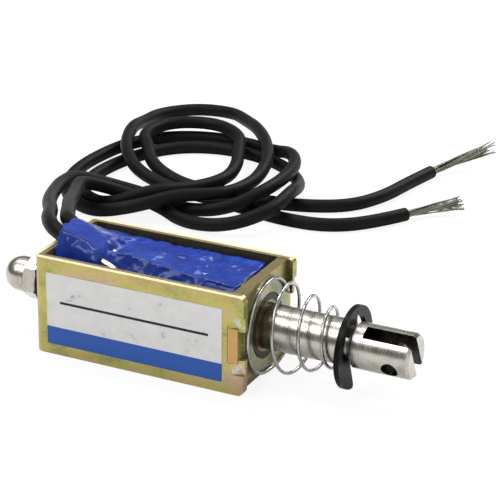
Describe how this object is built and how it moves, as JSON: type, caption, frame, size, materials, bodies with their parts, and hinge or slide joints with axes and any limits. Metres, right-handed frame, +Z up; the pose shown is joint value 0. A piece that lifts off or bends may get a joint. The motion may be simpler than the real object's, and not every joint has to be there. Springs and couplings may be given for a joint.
{
  "type": "push pull solenoid",
  "caption": "Small open-frame push pull solenoid: staked zinc frame, taped coil, plunger with clevis end, conical return spring and clip, push rod with cap nut, loose leads.",
  "frame": {"origin": "middle of the length from the cap nut's tip to the clevis's tip, on the surface the bracket stands on, below the plunger's axis", "axes": "+X along the plunger towards the clevis, -Y towards the label, +Z up with the coil's open side up"},
  "size_m": [0.0828, 0.0983, 0.0163],
  "materials": {
    "zinc_yellow": "yellow zinc plating, satin, iridescent",
    "zinc_pale": "pale zinc plating, satin",
    "nylon_black": "moulded, satin",
    "brass": "drawn tube, tarnished rim",
    "core_steel": "turned",
    "copper_wire": "enamelled copper wire",
    "clear_film": "thin film",
    "blue_tape": "glossy creased film tape",
    "label_film": "printed film, blank, blue band",
    "solder": "solder",
    "lead_black": "satin insulation",
    "tinned_copper": "tinned strands",
    "spring_steel": "bright spring wire",
    "black_oxide": "black oxide, satin",
    "nickel_steel": "nickel plated, fine turning marks",
    "rod_steel": "drawn rod",
    "rubber_black": "moulded, matt"
  },
  "bodies": {
    "housing": {"frame_bracket": "zinc_yellow", "end_plate": "zinc_yellow", "spring_seat_washer": "zinc_pale", "bobbin": "nylon_black", "guide_tube": "brass", "fixed_core": "core_steel", "coil_winding": "copper_wire", "coil_insulation": "clear_film", "coil_tape": "blue_tape", "lead_wrap_tape": "blue_tape", "label": "label_film", "solder_joint_a": "solder", "solder_joint_b": "solder", "lead_a": "lead_black", "lead_b": "lead_black", "lead_a_strands": "tinned_copper", "lead_b_strands": "tinned_copper", "return_spring": "spring_steel"},
    "clip": {"retaining_clip": "black_oxide"},
    "plunger": {"plunger": "nickel_steel", "push_rod": "rod_steel", "cap_nut": "nickel_steel", "bumper_washer": "rubber_black"}
  },
  "joints": [
    {"name": "plunger_slide", "type": "slide", "parent": "housing", "child": "clip", "axis": [-1, 0, 0], "range_m": [0, 0.01], "stiffness_N_per_m": 120, "springref_m": -0.002, "deforming": ["return_spring"]},
    {"name": "plunger_spin", "type": "hinge", "parent": "clip", "child": "plunger", "pos_m": [0, 0, 0.00675], "axis": [1, 0, 0], "continuous": true}
  ]
}
